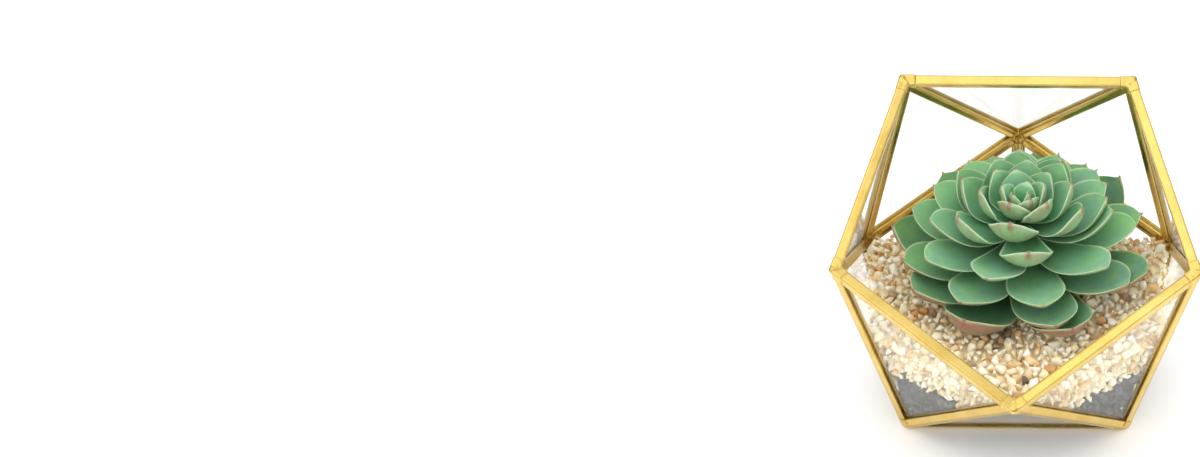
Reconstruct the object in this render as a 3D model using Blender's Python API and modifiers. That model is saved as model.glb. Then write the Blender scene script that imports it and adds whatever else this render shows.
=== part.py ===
"""A small geometric glass terrarium: brass strips hold fifteen triangular panes in the shape of an
icosahedron that has lost one vertex, which leaves a five-sided opening at the upper front. It holds
dark drainage pebbles, pale gravel and a rosette succulent. Metres, +Z up, the front faces -Y."""

import math

import bmesh
import bpy
from mathutils import Matrix, Vector, noise

MM = 0.001

# The polyhedron: two triangles, top and base, with six belt corners between them.
BELT_RADIUS = 84.0 * MM  # from the upright axis to the six belt corners
END_RADIUS = 56.0 * MM  # from the axis to the corners of the base and of the top
HEIGHT = 140.5 * MM  # between the middle planes of the base and of the top
LOW_BELT = 52.0 * MM  # height of the lower belt corners over the base, and of the upper ones under the top

# Panes and brass strips. A strip's section is measured from a pane's middle plane and its edge line.
GLASS = 2.0 * MM
CLEARANCE = 0.3 * MM
PANE_INSET = 1.0 * MM  # from the edge line to the glass
BRASS = 0.8 * MM
FLANGE = 3.0 * MM  # from the edge line to a strip's free edge, which laps over the glass
RIM_WEB = 0.6 * MM  # how far a rim strip's web stands outside the edge line
SEAM = 0.35 * MM  # half width, and half depth, of the seam along a two-pane strip
MITRE_GAP = 0.15 * MM
HALF_STRIP = GLASS / 2 + CLEARANCE + BRASS
BASE_LIFT = HALF_STRIP  # the base strips' flanges stand on z = 0

# The fill.
FILL_INSET = 2.8 * MM  # from the panes' middle planes, so that the fill clears the strips' inner flanges
PEBBLE_TOP = 32.0 * MM
GRAVEL_TOP = 52.0 * MM
FILL_STEPS = 16
MOUND = 6.0 * MM  # how far the gravel is heaped up behind the plant's stem
MOUND_WIDTH = 20.0 * MM

# The succulent stands in its own frame: the origin at the tip of its heart, and the stem down -Z.
HEART = Vector((1.9, 8.0, 97.0)) * MM
LEAN = math.radians(12.5)  # it leans forward, out of the opening
STEM_RADIUS = 6.5 * MM
STEM_TOP = -5.5 * MM
STEM_SHOULDER = -22.0 * MM
ROOT_TAPER = -50.0 * MM
ROOT_END = -58.0 * MM
SOCKET_TOP = -30.0 * MM
SEPARATE_LEAVES = 17
# Each leaf's direction in degrees, from the lowest leaf to the last one at the heart.
LEAF_DIRECTIONS = (
    -112, 38, 178, -70, 84, -140, -25, 134, -76, 56, -156, -38, 106, 8, -117, 170, 70, -80, -4, -146, 124,
    -42, 40, 158, -108, 92, -166, 20, -8, 62, 1, 148, -85, 94, -149, 55, 164, -24, 44, 120, -101, 5, 82,
    -172, 137, 38, -44, 103, -115, 14, 170, -60, 62, -150, -12,
)
TOWARDS_LIGHT = 0.08  # how much further the leaves reach on the light's side
LIGHT_SIDE = math.radians(-70)
HEART_OVERLAP = 1.5 * MM  # how far the inner leaves' feet run into the stem
LEAF_STATIONS = (0.0, 0.14, 0.32, 0.52, 0.7, 0.84, 0.94, 1.0)
HALF_RING = 4  # points across a leaf, from one margin to the other

BRASS_COLOUR = (0.83, 0.62, 0.22)
GLASS_COLOUR = (0.86, 0.93, 0.92)
LEAF_COLOUR = (0.22, 0.46, 0.31)
GRAVEL_COLOUR = (0.78, 0.63, 0.44)
PEBBLE_COLOUR = (0.05, 0.055, 0.065)


def corner(radius, azimuth, height):
    angle = math.radians(azimuth)
    return Vector((radius * math.cos(angle), radius * math.sin(angle), height + BASE_LIFT))


UPPER_BELT = HEIGHT - LOW_BELT
CORNERS = {
    "F": corner(END_RADIUS, 210, 0),  # base left
    "G": corner(END_RADIUS, 330, 0),  # base right
    "Q": corner(END_RADIUS, 90, 0),  # base back
    "D": corner(BELT_RADIUS, 270, LOW_BELT),  # front
    "R": corner(BELT_RADIUS, 30, LOW_BELT),  # rear right
    "L": corner(BELT_RADIUS, 150, LOW_BELT),  # rear left
    "K": corner(BELT_RADIUS, 90, UPPER_BELT),  # back
    "C": corner(BELT_RADIUS, 330, UPPER_BELT),  # right
    "E": corner(BELT_RADIUS, 210, UPPER_BELT),  # left
    "A": corner(END_RADIUS, 150, HEIGHT),  # top left
    "B": corner(END_RADIUS, 30, HEIGHT),  # top right
}
MIDDLE = Vector((0, 0, HEIGHT / 2 + BASE_LIFT))
PLANT_FRAME = Matrix.Translation(HEART) @ Matrix.Rotation(LEAN, 4, "X")

RIM_STRIPS = {
    "rim_top": "AB", "rim_upper_right": "BC", "rim_lower_right": "CD",
    "rim_lower_left": "DE", "rim_upper_left": "EA",
}
INNER_STRIPS = {
    "strip_top_left": "AK", "strip_top_right": "BK", "strip_upper_left": "AL", "strip_upper_right": "BR",
    "strip_side_left": "EL", "strip_side_right": "CR", "strip_lower_left": "EF", "strip_lower_right": "CG",
    "strip_front_left": "DF", "strip_front_right": "DG", "strip_back_left": "KL", "strip_back_right": "KR",
    "strip_foot_left": "LF", "strip_foot_right": "RG", "strip_rear_left": "LQ", "strip_rear_right": "RQ",
    "strip_rear_middle": "KQ", "base_strip_front": "FG", "base_strip_left": "FQ", "base_strip_right": "GQ",
}
PANES = {
    "pane_base": "FGQ", "pane_front": "DFG", "pane_front_left": "DEF", "pane_front_right": "CDG",
    "pane_side_left": "ELF", "pane_side_right": "CRG", "pane_upper_left": "AEL", "pane_upper_right": "BCR",
    "pane_back_left": "AKL", "pane_back_right": "BKR", "pane_top_back": "ABK", "pane_rear_left": "KLQ",
    "pane_rear_right": "KRQ", "pane_foot_left": "LFQ", "pane_foot_right": "RGQ",
}


def clear_scene():
    for obj in list(bpy.data.objects):
        bpy.data.objects.remove(obj, do_unlink=True)


def make_collections():
    made = []
    for name in ("glass_plant_terrarium", "cutters"):
        collection = bpy.data.collections.new(name)
        bpy.context.scene.collection.children.link(collection)
        made.append(collection)
    return made


def material(name, colour, roughness, metallic=0.0, alpha=1.0):
    made = bpy.data.materials.new(name)
    made.use_nodes = True
    shader = made.node_tree.nodes["Principled BSDF"]
    shader.inputs["Base Color"].default_value = (*colour, 1)
    shader.inputs["Roughness"].default_value = roughness
    shader.inputs["Metallic"].default_value = metallic
    shader.inputs["Alpha"].default_value = alpha
    return made


def add_object(name, data, collection, finish=None, matrix=None):
    obj = bpy.data.objects.new(name, data)
    collection.objects.link(obj)
    if finish:
        obj.data.materials.append(finish)
    if matrix:
        obj.matrix_world = matrix
    return obj


def extruded(name, outline, depth, matrix, collection, finish):
    """A flat outline, a list of (x, y), made a solid that reaches depth / 2 to each side of its plane."""
    curve = bpy.data.curves.new(name, "CURVE")
    curve.dimensions = "2D"
    curve.fill_mode = "BOTH"
    curve.extrude = depth / 2
    spline = curve.splines.new("POLY")
    spline.points.add(len(outline) - 1)
    for point, (x, y) in zip(spline.points, outline):
        point.co = (x, y, 0, 1)
    spline.use_cyclic_u = True
    return add_object(name, curve, collection, finish, matrix)


def as_mesh(obj, collection):
    """The evaluated object as a mesh object with welded caps, in its place."""
    bpy.context.view_layer.update()
    graph = bpy.context.evaluated_depsgraph_get()
    mesh = bpy.data.meshes.new_from_object(obj.evaluated_get(graph))
    bm = bmesh.new()
    bm.from_mesh(mesh)
    bmesh.ops.remove_doubles(bm, verts=bm.verts, dist=1e-6)
    bmesh.ops.recalc_face_normals(bm, faces=bm.faces)
    bm.to_mesh(mesh)
    bm.free()
    name, matrix = obj.name, obj.matrix_world.copy()
    bpy.data.objects.remove(obj, do_unlink=True)
    made = add_object(name, mesh, collection, None, matrix)
    made.name = name
    return made


def outward(letters):
    """A pane's outward normal."""
    a, b, c = (CORNERS[k] for k in letters)
    normal = (b - a).cross(c - a).normalized()
    return normal if normal.dot((a + b + c) / 3 - MIDDLE) > 0 else -normal


def basis(x, y, z, origin):
    """The matrix whose axes are x, y and z, at origin."""
    return Matrix.Translation(origin) @ Matrix((x, y, z)).transposed().to_4x4()


# ---- panes ----


def make_pane(name, letters, collection, finish):
    """A triangular plate, inset from the three edge lines."""
    a, b, c = (CORNERS[k] for k in letters)
    normal = outward(letters)
    along = (b - a).normalized()
    across = normal.cross(along)
    centre = (a + b + c) / 3
    flat = [Vector(((p - centre).dot(along), (p - centre).dot(across))) for p in (a, b, c)]
    outline = []
    for i, here in enumerate(flat):
        back, ahead = (flat[i - 1] - here).normalized(), (flat[(i + 1) % 3] - here).normalized()
        half_angle = back.angle(ahead) / 2
        outline.append(here + (back + ahead).normalized() * PANE_INSET / math.sin(half_angle))
    extruded(name, outline, GLASS, basis(along, across, normal, centre), collection, finish)


# ---- brass strips ----


def strip_sides(ends):
    """For each pane on the edge: the direction into the pane, and the pane's outward normal."""
    a, b = (CORNERS[k] for k in ends)
    along = (b - a).normalized()
    sides = []
    for letters in PANES.values():
        if set(ends) <= set(letters):
            third = CORNERS[(set(letters) - set(ends)).pop()]
            into = third - a
            sides.append(((into - into.dot(along) * along).normalized(), outward(letters)))
    return along, sides


def lapped_side(into, normal):
    """The channel round one pane's edge, from its outer flange's end to its inner one's."""
    inner, slot = GLASS / 2 + CLEARANCE, PANE_INSET - CLEARANCE
    path = (
        (FLANGE, HALF_STRIP), (FLANGE, inner), (slot, inner),
        (slot, -inner), (FLANGE, -inner), (FLANGE, -HALF_STRIP),
    )
    return [into * s + normal * h for s, h in path]


def ridge(into, normal, across, height, beside=0.0):
    """The point of a flange's face at this height, at the distance beside from the strip's mirror plane."""
    s = (beside - height * normal.dot(across)) / into.dot(across)
    return into * s + normal * height


def strip_outline(sides, out, across):
    """The section's corners as (out, across) pairs."""
    into, normal = sides[0]
    if len(sides) == 1:
        points = [into * -RIM_WEB + normal * HALF_STRIP, *lapped_side(into, normal)]
        points.append(into * -RIM_WEB - normal * HALF_STRIP)
        return [(p.dot(out), p.dot(across)) for p in points]
    if into.dot(across) < 0:
        sides = sides[::-1]
    (into, normal), (other_into, other_normal) = sides
    bottom = ridge(into, normal, across, HALF_STRIP) - out * 2 * SEAM
    points = [
        bottom,
        ridge(into, normal, across, HALF_STRIP, SEAM),
        *lapped_side(into, normal),
        ridge(into, normal, across, -HALF_STRIP),
        *lapped_side(other_into, other_normal)[::-1],
        ridge(other_into, other_normal, across, HALF_STRIP, -SEAM),
    ]
    return [(p.dot(out), p.dot(across)) for p in points]


def mitre(obj, ends):
    """Cuts both ends of a strip halfway to each strip that it meets there."""
    bm = bmesh.new()
    bm.from_mesh(obj.data)
    bm.transform(obj.matrix_world)
    for here, there in (ends, ends[::-1]):
        corner_at = CORNERS[here]
        own = (CORNERS[there] - corner_at).normalized()
        for other_ends in (*RIM_STRIPS.values(), *INNER_STRIPS.values()):
            if here not in other_ends or there in other_ends:
                continue
            neighbour = (CORNERS[other_ends.replace(here, "")] - corner_at).normalized()
            normal = (own - neighbour).normalized()
            cut = bmesh.ops.bisect_plane(
                bm, geom=[*bm.verts, *bm.edges, *bm.faces], dist=1e-8,
                plane_co=corner_at + normal * MITRE_GAP, plane_no=normal, clear_inner=True,
            )
            rims = [e for e in cut["geom_cut"] if isinstance(e, bmesh.types.BMEdge) and e.is_boundary]
            if rims:
                bmesh.ops.triangle_fill(bm, edges=rims, use_beauty=True)
    bmesh.ops.remove_doubles(bm, verts=bm.verts, dist=1e-6)
    bmesh.ops.recalc_face_normals(bm, faces=bm.faces)
    bm.transform(obj.matrix_world.inverted())
    bm.to_mesh(obj.data)
    bm.free()


def make_strip(name, ends, collection, finish):
    a, b = (CORNERS[k] for k in ends)
    along, sides = strip_sides(ends)
    middle = (a + b) / 2
    out = -sum((into for into, _ in sides), Vector()).normalized()
    across = along.cross(out)
    outline = strip_outline(sides, out, across)
    length = (b - a).length + 8 * FLANGE
    blank = extruded(name, outline, length, basis(out, across, along, middle), collection, finish)
    strip = as_mesh(blank, collection)
    mitre(strip, ends)


# ---- the fill ----


def gravel_height(x, y):
    """The gravel's top: it rises towards both sides, dips to the front and is heaped up round the stem."""
    side = (abs(x) / BELT_RADIUS) ** 2
    foot = PLANT_FRAME @ Vector((0, 0, ROOT_TAPER))
    mound = math.exp(-((x - foot.x) ** 2 + (y - foot.y) ** 2) / MOUND_WIDTH**2)
    swell = 1.6 * MM * noise.noise(Vector((x * 60, y * 60, 3.0)))
    return GRAVEL_TOP + 9 * MM * side + 2 * MM * min(0, y / BELT_RADIUS) + MOUND * mound + swell


def pebble_height(x, y):
    """The drainage layer's top, higher at the sides than under the front corner."""
    side = min(1.0, abs(x) / END_RADIUS)
    swell = 2.5 * MM * noise.noise(Vector((x * 90, y * 90, 8.0)))
    return PEBBLE_TOP + 5 * MM * (side - 0.5) + swell


def layer(name, floor, roof, collection):
    """A block between two height functions, wider than the terrarium."""
    bm = bmesh.new()
    bmesh.ops.create_grid(bm, x_segments=FILL_STEPS, y_segments=FILL_STEPS, size=BELT_RADIUS * 1.1)
    top = list(bm.verts)
    raised = bmesh.ops.extrude_face_region(bm, geom=bm.faces[:])["geom"]
    roof_verts = [v for v in raised if isinstance(v, bmesh.types.BMVert)]
    for v in roof_verts:
        v.co.z = roof(v.co.x, v.co.y)
    for v in top:
        v.co.z = floor(v.co.x, v.co.y)
    bmesh.ops.triangulate(bm, faces=bm.faces)
    bmesh.ops.recalc_face_normals(bm, faces=bm.faces)
    mesh = bpy.data.meshes.new(name)
    bm.to_mesh(mesh)
    bm.free()
    return add_object(name, mesh, collection)


def inner_hull(name, collection, finish):
    """The room inside the panes: the whole polyhedron, drawn in by FILL_INSET."""
    bm = bmesh.new()
    corners = [*CORNERS.values(), corner(END_RADIUS, 270, HEIGHT)]
    for point in corners:
        bm.verts.new(point)
    bmesh.ops.convex_hull(bm, input=bm.verts)
    bmesh.ops.scale(
        bm, verts=bm.verts, vec=(1 - FILL_INSET / (HEIGHT / 2) * 1.03,) * 3, space=Matrix.Translation(-MIDDLE)
    )
    mesh = bpy.data.meshes.new(name)
    bm.to_mesh(mesh)
    bm.free()
    return add_object(name, mesh, collection, finish)


def boolean(obj, cutter, operation):
    cutter.hide_render = True
    cutter.display_type = "WIRE"
    modifier = obj.modifiers.new(operation.lower(), "BOOLEAN")
    modifier.operation = operation
    modifier.object = cutter
    modifier.solver = "EXACT"


def make_fill(parts, cutters, gravel_finish, pebble_finish):
    """The gravel over the drainage pebbles, with a socket for the plant's root."""
    pebbles = inner_hull("drainage_pebbles", parts, pebble_finish)
    below = layer("below_pebble_top", lambda x, y: -10 * MM, pebble_height, cutters)
    boolean(pebbles, below, "INTERSECT")
    gravel = inner_hull("gravel", parts, gravel_finish)
    span = layer("gravel_span", lambda x, y: pebble_height(x, y) + CLEARANCE, gravel_height, cutters)
    boolean(gravel, span, "INTERSECT")
    socket = turned("root_socket", socket_profile(), cutters, None)
    boolean(gravel, socket, "DIFFERENCE")


# ---- the succulent ----


def turned(name, profile, collection, finish):
    """A profile of (radius, height) points, from top to bottom, turned about the plant's axis."""
    mesh = bpy.data.meshes.new(name)
    edges = [(i, i + 1) for i in range(len(profile) - 1)]
    mesh.from_pydata([(r, 0, z) for r, z in profile], edges, [])
    obj = add_object(name, mesh, collection, finish, PLANT_FRAME)
    screw = obj.modifiers.new("turn", "SCREW")
    screw.steps = screw.render_steps = 12
    screw.use_merge_vertices = True
    screw.merge_threshold = 1e-6
    return obj


def socket_profile():
    """The hole in the gravel that the root stands in."""
    wide, end = STEM_RADIUS + CLEARANCE, ROOT_END - CLEARANCE
    narrow = STEM_RADIUS * 0.6 + CLEARANCE
    return [(0, SOCKET_TOP), (wide, SOCKET_TOP), (wide, ROOT_TAPER), (narrow, end), (0, end)]


def stem_profile():
    return [
        (0, STEM_TOP), (STEM_RADIUS * 0.3, STEM_TOP), (STEM_RADIUS, STEM_SHOULDER),
        (STEM_RADIUS, ROOT_TAPER), (STEM_RADIUS * 0.6, ROOT_END), (0, ROOT_END),
    ]


def between(lowest, last, share):
    """A size that goes from the lowest leaf's to the last one's."""
    return lowest + (last - lowest) * share


def leaf_sizes(index):
    """A leaf's place on the stem and its size. t goes from 0, the lowest leaf, to 1, the last one."""
    t = index / (len(LEAF_DIRECTIONS) - 1)
    direction = math.radians(LEAF_DIRECTIONS[index])
    taper = max(0.0, (t - 0.4) / 0.6)  # the stem narrows over the upper leaves
    climb = math.sin(min(1.0, t / 0.7) * math.pi / 2) ** 1.4
    sink = max(0.0, t - 0.7)  # the last leaves close below the tips of those round them
    return {
        "direction": direction,
        "foot_r": STEM_RADIUS + CLEARANCE - 6.0 * MM * taper,
        "foot_z": between(-35.0, -7.0, t**0.8) * MM,
        "tip_r": between(60.0, 4.0, t**1.6) * MM * (1 + TOWARDS_LIGHT * math.cos(direction - LIGHT_SIDE)),
        "tip_z": between(-23.5, 2.0, climb) * MM - 7.0 * MM * sink,
        "foot_slope": math.radians(between(-3, 75, t**2.5)),
        "tip_slope": math.radians(between(85, 35, (1 - t) ** 2.2)),
        "width": between(31.5, 4.5, t**4.2) * MM,
        "thick": between(2.0, 1.2, t) * MM,
        "dish": between(0.11, 0.26, t),
    }


def leaf_width(u):
    """Half width along the leaf, as a share of the greatest: a narrow foot, a broad shoulder, a round end."""
    foot, shoulder = 0.22, 0.70
    if u < shoulder:
        v = u / shoulder
        return foot + (1 - foot) * v * v * (3 - 2 * v)
    return math.sqrt(max(0.0, 1 - ((u - shoulder) / (1 - shoulder)) ** 2.4))


def leaf_thickness(u):
    """Thickness along the leaf, as a share of the greatest: less at the foot, fading to the tip."""
    return (0.5 + 0.5 * min(1.0, u / 0.5)) * math.sqrt(max(0.02, 1 - max(0.0, (u - 0.6) / 0.4) ** 2))


def midrib(sizes, u):
    """A point of the leaf's midrib and the slope there: a Bezier arc, flat at the foot, that curls up."""
    foot = Vector((sizes["foot_r"], sizes["foot_z"]))
    tip = Vector((sizes["tip_r"], sizes["tip_z"]))
    pull = 0.36 * (tip - foot).length
    leaving = foot + pull * Vector((math.cos(sizes["foot_slope"]), math.sin(sizes["foot_slope"])))
    arriving = tip - pull * Vector((math.cos(sizes["tip_slope"]), math.sin(sizes["tip_slope"])))
    v = 1 - u
    point = v**3 * foot + 3 * v * v * u * leaving + 3 * v * u * u * arriving + u**3 * tip
    heading = v * v * (leaving - foot) + 2 * v * u * (arriving - leaving) + u * u * (tip - arriving)
    return point, math.atan2(heading.y, heading.x)


def leaf_mesh(name, sizes):
    """A fleshy leaf, lofted along its midrib: a dished upper face, a keeled lower one."""
    half_width = sizes["width"] / 2
    bm = bmesh.new()
    rings = []
    for u in LEAF_STATIONS[:-1]:
        w, thick = half_width * leaf_width(u), sizes["thick"] * leaf_thickness(u)
        rib, slope = midrib(sizes, u)
        ring = []
        for i in range(2 * HALF_RING):
            upper = i <= HALF_RING
            k = i if upper else 2 * HALF_RING - i
            side = math.cos(math.pi * k / HALF_RING)
            dish = sizes["dish"] * w * side * side
            height = dish if upper else dish - thick * (1 - side * side)
            ring.append(bm.verts.new((
                rib.x - height * math.sin(slope), side * w, rib.y + height * math.cos(slope),
            )))
        rings.append(ring)
    end, _ = midrib(sizes, 1.0)
    tip = bm.verts.new((end.x, 0, end.y))
    bm.faces.new(rings[0])
    for near, far in zip(rings, rings[1:]):
        for i in range(len(near)):
            j = (i + 1) % len(near)
            bm.faces.new((near[i], near[j], far[j], far[i]))
    for i in range(len(rings[-1])):
        bm.faces.new((rings[-1][i], rings[-1][(i + 1) % len(rings[-1])], tip))
    bmesh.ops.recalc_face_normals(bm, faces=bm.faces)
    bmesh.ops.triangulate(bm, faces=bm.faces)
    mesh = bpy.data.meshes.new(name)
    bm.to_mesh(mesh)
    bm.free()
    mesh.shade_smooth()
    return mesh


def make_plant(parts, cutters, finish):
    """The outer leaves one by one, and the heart: the stem with the leaves that close round its tip."""
    for index in range(SEPARATE_LEAVES):
        sizes = leaf_sizes(index)
        name = f"leaf_{index + 1:02d}"
        turn = Matrix.Rotation(sizes["direction"], 4, "Z")
        add_object(name, leaf_mesh(name, sizes), parts, finish, PLANT_FRAME @ turn)
    heart = as_mesh(turned("rosette_heart", stem_profile(), parts, finish), parts)
    for index in range(SEPARATE_LEAVES, len(LEAF_DIRECTIONS)):
        sizes = leaf_sizes(index)
        sizes["foot_r"] -= HEART_OVERLAP
        name = f"heart_leaf_{index + 1:02d}"
        turn = Matrix.Rotation(sizes["direction"], 4, "Z")
        inner = add_object(name, leaf_mesh(name, sizes), cutters, None, PLANT_FRAME @ turn)
        boolean(heart, inner, "UNION")


def main():
    clear_scene()
    parts, cutters = make_collections()
    brass = material("brass", BRASS_COLOUR, 0.28, metallic=1.0)
    glass = material("glass", GLASS_COLOUR, 0.03, alpha=0.3)
    for name, letters in PANES.items():
        make_pane(name, letters, parts, glass)
    for name, ends in (*RIM_STRIPS.items(), *INNER_STRIPS.items()):
        make_strip(name, ends, parts, brass)
    make_fill(parts, cutters, material("gravel", GRAVEL_COLOUR, 0.8), material("pebble", PEBBLE_COLOUR, 0.35))
    make_plant(parts, cutters, material("leaf", LEAF_COLOUR, 0.5))


main()
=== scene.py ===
"""The looks of a small geometric glass terrarium: brass strips with soldered corners, clear panes,
pale gravel over dark drainage pebbles, and a rosette succulent. Metres, +Z up, the front faces -Y.
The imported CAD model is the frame. Its panes and strips stay and get their finish here; the gravel,
the pebbles and the plant are replaced by detailed pieces in the same places."""

import math

import bmesh
import bpy
import numpy as np
from mathutils import Matrix, Quaternion, Vector, noise
from mathutils.bvhtree import BVHTree
from mathutils.geometry import distance_point_to_plane

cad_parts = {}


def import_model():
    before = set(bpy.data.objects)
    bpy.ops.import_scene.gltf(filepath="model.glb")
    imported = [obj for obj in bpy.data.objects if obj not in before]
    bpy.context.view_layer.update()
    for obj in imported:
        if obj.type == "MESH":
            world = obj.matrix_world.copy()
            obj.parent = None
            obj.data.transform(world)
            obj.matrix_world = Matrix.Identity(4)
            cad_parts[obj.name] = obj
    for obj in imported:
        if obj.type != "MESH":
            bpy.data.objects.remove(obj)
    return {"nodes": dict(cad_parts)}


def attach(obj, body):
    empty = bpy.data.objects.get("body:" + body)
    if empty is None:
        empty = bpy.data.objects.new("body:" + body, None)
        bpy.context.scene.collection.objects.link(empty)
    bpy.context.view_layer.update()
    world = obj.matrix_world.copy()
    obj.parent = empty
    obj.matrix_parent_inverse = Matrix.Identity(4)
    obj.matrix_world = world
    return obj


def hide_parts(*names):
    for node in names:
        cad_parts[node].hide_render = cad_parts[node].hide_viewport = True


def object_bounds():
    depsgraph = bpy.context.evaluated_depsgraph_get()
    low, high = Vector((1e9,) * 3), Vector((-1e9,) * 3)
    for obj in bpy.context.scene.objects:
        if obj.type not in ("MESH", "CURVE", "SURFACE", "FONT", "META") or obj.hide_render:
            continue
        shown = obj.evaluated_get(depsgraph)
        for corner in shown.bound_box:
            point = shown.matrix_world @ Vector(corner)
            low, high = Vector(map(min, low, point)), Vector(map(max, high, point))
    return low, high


MM = 0.001

# The corners that each pane joins: F, G and Q round the base, D at the front, R and L to the rear,
# K at the back, C and E on the two sides, A and B at the top.
PANES = {
    "pane_base": "FGQ", "pane_front": "DFG", "pane_front_left": "DEF", "pane_front_right": "CDG",
    "pane_side_left": "ELF", "pane_side_right": "CRG", "pane_upper_left": "AEL", "pane_upper_right": "BCR",
    "pane_back_left": "AKL", "pane_back_right": "BKR", "pane_top_back": "ABK", "pane_rear_left": "KLQ",
    "pane_rear_right": "KRQ", "pane_foot_left": "LFQ", "pane_foot_right": "RGQ",
}
MOUTH_RIM = "ABCDE"  # the corners round the opening, in order
HALF_GLASS = 1.0 * MM
HALF_STRIP = 2.1 * MM  # from a pane's middle plane to a strip's outer face
FLANGE = 3.0 * MM  # from an edge line to a strip's free edge
RIM_WEB = 0.6 * MM  # how far a rim strip stands outside its edge line
WORN_EDGE = 0.28 * MM  # width of the strips' rounded edges
WORN_ANGLE = math.radians(25)  # flatter edges than this stay as they are

# Solder at the corners
SOLDER_CORE = 2.2 * MM  # radius of the lump at the corner
SOLDER_BACK = 0.8 * MM  # how far the lump sits back from a corner of the mouth
SOLDER_FILL = 1.7 * MM  # radius of a smaller lump, which fills the notch between two rim strips
SOLDER_OUT = 1.4 * MM  # how far out that one sits
SOLDER_REACH = 5.0 * MM  # along each strip
SOLDER_LAP = FLANGE + 0.1 * MM  # across each strip, just past its free edge
SOLDER_PROUD = 0.42 * MM  # over the strips' faces
SOLDER_GRID = 0.33 * MM  # the voxels that melt the shells of a joint together
SOLDER_ROUNDS = 18  # of smoothing
SOLDER_RIPPLES = ((2.6 * MM, 0.16 * MM), (0.9 * MM, 0.04 * MM))  # spacing and height

# The succulent stands in its own frame: the origin at the tip of its heart, and the stem down -Z.
HEART = Vector((1.9, 8.0, 97.0)) * MM
LEAN = math.radians(12.5)  # towards the front
PLANT = Matrix.Translation(HEART) @ Matrix.Rotation(LEAN, 4, "X")
STEM_RADIUS = 6.5 * MM
STEM_TAPER = 0.4  # its radius at the top, by the one at the foot
STEM_TOP = -7.0 * MM
STEM_FOOT = -50.0 * MM
STEM_GRID = 0.8 * MM
STEM_ROUNDS = 7
CLEARANCE = 0.3 * MM
SEPARATE_LEAVES = 17  # the lowest leaves are CAD nodes of their own
# Each leaf's direction in degrees, from the lowest leaf to the last one at the heart.
LEAF_DIRECTIONS = (
    -112, 38, 178, -70, 84, -140, -25, 134, -76, 56, -156, -38, 106, 8, -117, 170, 70, -80, -4, -146, 124,
    -42, 40, 158, -108, 92, -166, 20, -8, 62, 1, 148, -85, 94, -149, 55, 164, -24, 44, 120, -101, 5, 82,
    -172, 137, 38, -44, 103, -115, 14, 170, -60, 62, -150, -12,
)
# How the leaves change from the lowest one (0) to the last one at the heart (1)
LEAF_STAGES = (0.0, 0.05, 0.15, 0.3, 0.45, 0.58, 0.74, 0.88, 0.96, 1.0)
TIP_RADIUS = (58.0, 59.0, 56.8, 51.4, 43.9, 34.5, 22.5, 11.6, 6.4, 3.0)  # mm from the stem's axis
TIP_HEIGHT = (-15.8, -18.0, -17.5, -13.0, -5.2, 2.5, 7.8, 7.4, 5.4, 3.6)  # mm over the heart's origin
TIP_SLOPE = (84, 68, 42, 30, 34, 80, 90, 92, 88, 86)  # degrees
CURL = (0.34, 0.30, 0.30, 0.32, 0.36, 0.52, 0.62, 0.60, 0.54, 0.50)  # how much of the length turns up
WIDTH = (31.0, 29.5, 28.0, 25.5, 23.0, 23.5, 22.5, 17.0, 12.0, 8.0)  # mm
DISH = (0.40, 0.32, 0.24, 0.18, 0.20, 0.34, 0.42, 0.46, 0.46, 0.46)  # rise of the margins, by half the width
# The same for the lowest leaf and for the last one
FOOT_HEIGHT = (-35.0, -7.0)  # mm over the heart's origin
FOOT_SLOPE = (-10, 62)  # degrees
THICKNESS = (3.2, 1.5)  # mm
FOOT_INSET = 6.0 * MM  # how much nearer to the axis the last leaf stands
INSET_FROM = 0.4  # the stage where the feet begin to draw in
TOWARDS_LIGHT = 0.08  # how much further the leaves reach on the light side, as a share
LIGHT_SIDE = math.radians(-70)
LEAF_STEPS = 30  # rings along a leaf
LEAF_HALF_RING = 9  # steps across a leaf's face, from one margin to the other
RING_SIZE = 2 * LEAF_HALF_RING
GROOVE = 0.25 * MM  # depth of the fold along a leaf's middle
UNEVENNESS = 0.10  # of the margins' rise
MUCRO_START = 0.93  # where the point at a leaf's tip begins, as a share of its length
MUCRO_FADE = 0.09  # how far it fades each way, as a share too
MUCRO_WIDTH = 0.6 * MM

# Loose grains
GRAIN_SEED = 11
GRAIN_SHAPES = 28
GRAIN_POINTS = 9  # the corners of a stone, before it is worn
GRAIN_WEAR = 0.13  # width of the worn edges, by the radius
GRAVEL_SIZES = (1.3 * MM, 3.7 * MM)  # radius of the smallest and of the largest
PEBBLE_SIZES = (2.0 * MM, 3.4 * MM)
SIZE_FALL = 0.75  # under 1, so that the tries soon leave the largest sizes
GRAVEL_TRIES = 120000
PEBBLE_TRIES = 25000
GRAVEL_ON_TOP = 0.5  # the share of the tries that go to the filling's surface, and not behind a pane
PEBBLES_ON_TOP = 0.1
GLASS_START = 0.92  # the least distance behind a pane where a grain is tried, by its radius
TOP_START = 0.35  # and the least depth under the surface
LOOSE_DEPTH = 3.0 * MM  # how much deeper the tries go
NEAR_BIAS = 1.3  # over 1, so that more of them are near the surface or the pane
CLOSENESS = 0.60  # of the sum of two neighbours' radii
FILL_REACH = 80.0 * MM  # from the axis, further than any grain lies
# How near a grain's middle may come, by its radius
GLASS_GAP = 0.90
STRIP_GAP = 0.80  # to a strip's face
EDGE_GAP = 0.70  # to a strip's free edge
LEAF_GAP = 0.85
TOP_GAP = 0.30  # to the filling's top
BOTTOM_GAP = 0.60
BOUNDARY_WAVE = 2.2 * MM  # how unevenly the gravel ends over the pebbles
LOW_LEAVES = 24  # the leaves that the gravel could reach
CORE_DEPTH = 3.6 * MM  # how far the core lies under the CAD solid's surface
GRAVEL_CORE_TINT = 0.4
PEBBLE_CORE_TINT = 0.2

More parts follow.
